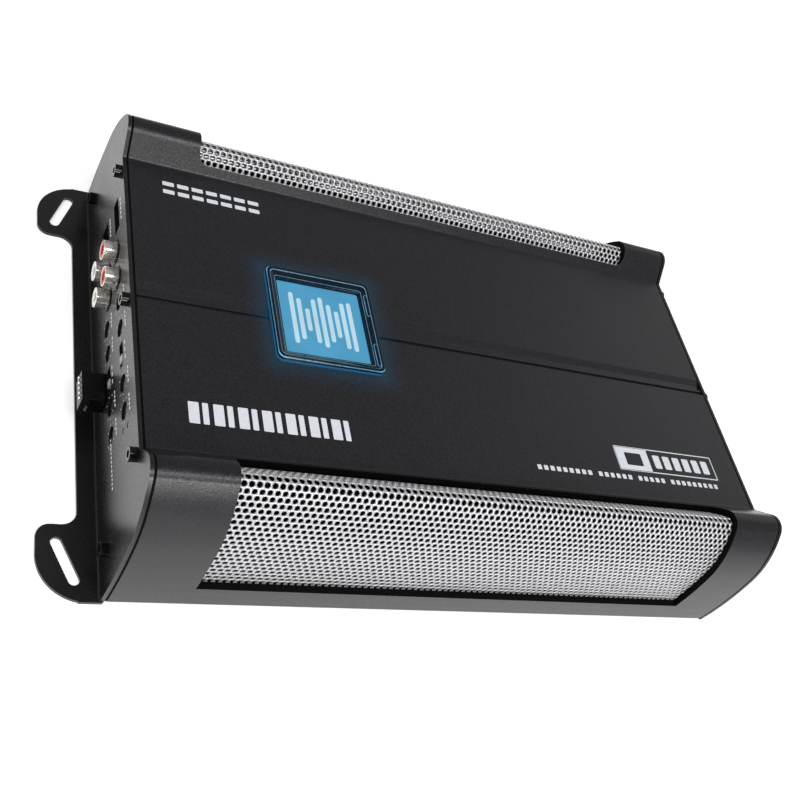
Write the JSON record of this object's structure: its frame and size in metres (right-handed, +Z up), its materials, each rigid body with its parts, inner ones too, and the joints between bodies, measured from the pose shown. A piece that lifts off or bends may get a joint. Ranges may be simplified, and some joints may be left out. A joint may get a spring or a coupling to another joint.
{
  "type": "car amplifier",
  "caption": "Black car amplifier with an extruded case, silver grilles along both sides, a lit square badge on a grooved top, phono jacks and controls at one end, slotted feet.",
  "frame": {"origin": "middle of the footprint, on the underside of the mounting feet", "axes": "+X along the case from the control panel at -X to the power terminals at +X, +Y across it, +Z up"},
  "size_m": [0.351, 0.21, 0.0669],
  "materials": {
    "powder_coat": "satin black powder coat with a fine grain",
    "plate_black": "satin black paint on folded steel sheet",
    "grille_silver": "bare perforated sheet",
    "gasket": "matt black foam rubber",
    "screw_black": "black oxide steel",
    "clear_acrylic": "clear moulded acrylic",
    "lit_blue": "backlit blue diffuser",
    "emblem_white": "pale printed bars",
    "black_plastic": "moulded black plastic",
    "nickel": "nickel plate",
    "gold_plate": "thin gold plate",
    "red_plastic": "red moulded plastic",
    "white_plastic": "white moulded plastic",
    "grey_plastic": "grey moulded plastic",
    "dark_plastic": "dark grey moulded plastic",
    "blue_plastic": "blue moulded plastic",
    "pressed_steel": "pressed steel",
    "lamp_red": "tinted clear lamp",
    "circuit_board": "green solder mask on glass fibre",
    "ferrite": "coated ferrite",
    "copper_wire": "enamelled copper wire",
    "capacitor_sleeve": "shrunk plastic sleeve",
    "bare_aluminium": "extruded bar",
    "fuse_green": "tinted plastic grip"
  },
  "bodies": {
    "amplifier": {"heatsink_body": "powder_coat", "grille_front": "grille_silver", "grille_rear": "grille_silver", "control_end_plate": "plate_black", "power_end_plate": "plate_black", "end_gaskets": "gasket", "bottom_cover": "plate_black", "end_plate_screws": "screw_black", "bottom_cover_screws": "screw_black", "badge_bezel": "clear_acrylic", "badge_panel": "lit_blue", "badge_emblem": "emblem_white", "badge_light_board": "circuit_board", "rca_housing": "black_plastic", "rca_shells": "nickel", "rca_red_inserts": "red_plastic", "rca_white_inserts": "white_plastic", "rca_contacts": "gold_plate", "potentiometer_bodies": "blue_plastic", "switch_bodies": "pressed_steel", "panel_lights": "lamp_red", "speaker_input_socket": "black_plastic", "bass_remote_socket": "black_plastic", "harness_socket": "black_plastic", "control_board": "circuit_board", "main_board": "circuit_board", "transformer_core": "ferrite", "transformer_winding": "copper_wire", "capacitors": "capacitor_sleeve", "power_transistors": "black_plastic", "transistor_clamps": "bare_aluminium", "power_terminal_housing": "black_plastic", "power_terminal_contacts": "nickel", "speaker_terminal_housing": "black_plastic", "speaker_terminal_contacts": "nickel", "fuse_holder": "black_plastic"},
    "front_gain_knob": {"front_gain_knob": "dark_plastic"},
    "front_high_pass_knob": {"front_high_pass_knob": "dark_plastic"},
    "front_low_pass_knob": {"front_low_pass_knob": "dark_plastic"},
    "front_bass_knob": {"front_bass_knob": "dark_plastic"},
    "rear_gain_knob": {"rear_gain_knob": "dark_plastic"},
    "rear_high_pass_knob": {"rear_high_pass_knob": "dark_plastic"},
    "rear_low_pass_knob": {"rear_low_pass_knob": "dark_plastic"},
    "rear_bass_knob": {"rear_bass_knob": "dark_plastic"},
    "front_filter_switch": {"front_filter_switch": "grey_plastic"},
    "rear_filter_switch": {"rear_filter_switch": "grey_plastic"},
    "harness_plug": {"harness_plug": "black_plastic"},
    "fuse_left": {"fuse_left": "fuse_green"},
    "fuse_right": {"fuse_right": "fuse_green"},
    "power_screw_1": {"power_screw_1": "nickel"},
    "power_screw_2": {"power_screw_2": "nickel"},
    "power_screw_3": {"power_screw_3": "nickel"},
    "speaker_screw_1": {"speaker_screw_1": "nickel"},
    "speaker_screw_2": {"speaker_screw_2": "nickel"},
    "speaker_screw_3": {"speaker_screw_3": "nickel"},
    "speaker_screw_4": {"speaker_screw_4": "nickel"},
    "speaker_screw_5": {"speaker_screw_5": "nickel"},
    "speaker_screw_6": {"speaker_screw_6": "nickel"},
    "speaker_screw_7": {"speaker_screw_7": "nickel"},
    "speaker_screw_8": {"speaker_screw_8": "nickel"}
  },
  "joints": [
    {"name": "front_gain_turn", "type": "hinge", "parent": "amplifier", "child": "front_gain_knob", "pos_m": [-0.15, 0.0049, 0.0415], "axis": [-1, 0, 0], "range_deg": [-140, 140]},
    {"name": "front_high_pass_turn", "type": "hinge", "parent": "amplifier", "child": "front_high_pass_knob", "pos_m": [-0.15, -0.0084, 0.0415], "axis": [-1, 0, 0], "range_deg": [-140, 140]},
    {"name": "front_low_pass_turn", "type": "hinge", "parent": "amplifier", "child": "front_low_pass_knob", "pos_m": [-0.15, -0.0348, 0.0415], "axis": [-1, 0, 0], "range_deg": [-140, 140]},
    {"name": "front_bass_turn", "type": "hinge", "parent": "amplifier", "child": "front_bass_knob", "pos_m": [-0.15, -0.0473, 0.0415], "axis": [-1, 0, 0], "range_deg": [-140, 140]},
    {"name": "rear_gain_turn", "type": "hinge", "parent": "amplifier", "child": "rear_gain_knob", "pos_m": [-0.15, 0.0045, 0.0239], "axis": [-1, 0, 0], "range_deg": [-140, 140]},
    {"name": "rear_high_pass_turn", "type": "hinge", "parent": "amplifier", "child": "rear_high_pass_knob", "pos_m": [-0.15, -0.0079, 0.0239], "axis": [-1, 0, 0], "range_deg": [-140, 140]},
    {"name": "rear_low_pass_turn", "type": "hinge", "parent": "amplifier", "child": "rear_low_pass_knob", "pos_m": [-0.15, -0.0341, 0.0239], "axis": [-1, 0, 0], "range_deg": [-140, 140]},
    {"name": "rear_bass_turn", "type": "hinge", "parent": "amplifier", "child": "rear_bass_knob", "pos_m": [-0.15, -0.0468, 0.0239], "axis": [-1, 0, 0], "range_deg": [-140, 140]},
    {"name": "front_filter_slide", "type": "slide", "parent": "amplifier", "child": "front_filter_switch", "axis": [0, 1, 0], "range_m": [-0.0008, 0.0046]},
    {"name": "rear_filter_slide", "type": "slide", "parent": "amplifier", "child": "rear_filter_switch", "axis": [0, 1, 0], "range_m": [-0.0008, 0.0046]},
    {"name": "harness_plug_pull", "type": "slide", "parent": "amplifier", "child": "harness_plug", "axis": [-1, 0, 0], "range_m": [0, 0.016]},
    {"name": "fuse_left_pull", "type": "slide", "parent": "amplifier", "child": "fuse_left", "axis": [1, 0, 0], "range_m": [0, 0.02]},
    {"name": "fuse_right_pull", "type": "slide", "parent": "amplifier", "child": "fuse_right", "axis": [1, 0, 0], "range_m": [0, 0.02]},
    {"name": "power_screw_1_turn", "type": "hinge", "parent": "amplifier", "child": "power_screw_1", "pos_m": [0.16395, 0.026, 0.026], "axis": [0, 0, 1], "continuous": true},
    {"name": "power_screw_2_turn", "type": "hinge", "parent": "amplifier", "child": "power_screw_2", "pos_m": [0.16395, 0.041, 0.026], "axis": [0, 0, 1], "continuous": true},
    {"name": "power_screw_3_turn", "type": "hinge", "parent": "amplifier", "child": "power_screw_3", "pos_m": [0.16395, 0.056, 0.026], "axis": [0, 0, 1], "continuous": true},
    {"name": "speaker_screw_1_turn", "type": "hinge", "parent": "amplifier", "child": "speaker_screw_1", "pos_m": [0.16245, -0.0614, 0.0222], "axis": [0, 0, 1], "continuous": true},
    {"name": "speaker_screw_2_turn", "type": "hinge", "parent": "amplifier", "child": "speaker_screw_2", "pos_m": [0.16245, -0.0532, 0.0222], "axis": [0, 0, 1], "continuous": true},
    {"name": "speaker_screw_3_turn", "type": "hinge", "parent": "amplifier", "child": "speaker_screw_3", "pos_m": [0.16245, -0.045, 0.0222], "axis": [0, 0, 1], "continuous": true},
    {"name": "speaker_screw_4_turn", "type": "hinge", "parent": "amplifier", "child": "speaker_screw_4", "pos_m": [0.16245, -0.0368, 0.0222], "axis": [0, 0, 1], "continuous": true},
    {"name": "speaker_screw_5_turn", "type": "hinge", "parent": "amplifier", "child": "speaker_screw_5", "pos_m": [0.16245, -0.0286, 0.0222], "axis": [0, 0, 1], "continuous": true},
    {"name": "speaker_screw_6_turn", "type": "hinge", "parent": "amplifier", "child": "speaker_screw_6", "pos_m": [0.16245, -0.0204, 0.0222], "axis": [0, 0, 1], "continuous": true},
    {"name": "speaker_screw_7_turn", "type": "hinge", "parent": "amplifier", "child": "speaker_screw_7", "pos_m": [0.16245, -0.0122, 0.0222], "axis": [0, 0, 1], "continuous": true},
    {"name": "speaker_screw_8_turn", "type": "hinge", "parent": "amplifier", "child": "speaker_screw_8", "pos_m": [0.16245, -0.004, 0.0222], "axis": [0, 0, 1], "continuous": true}
  ]
}
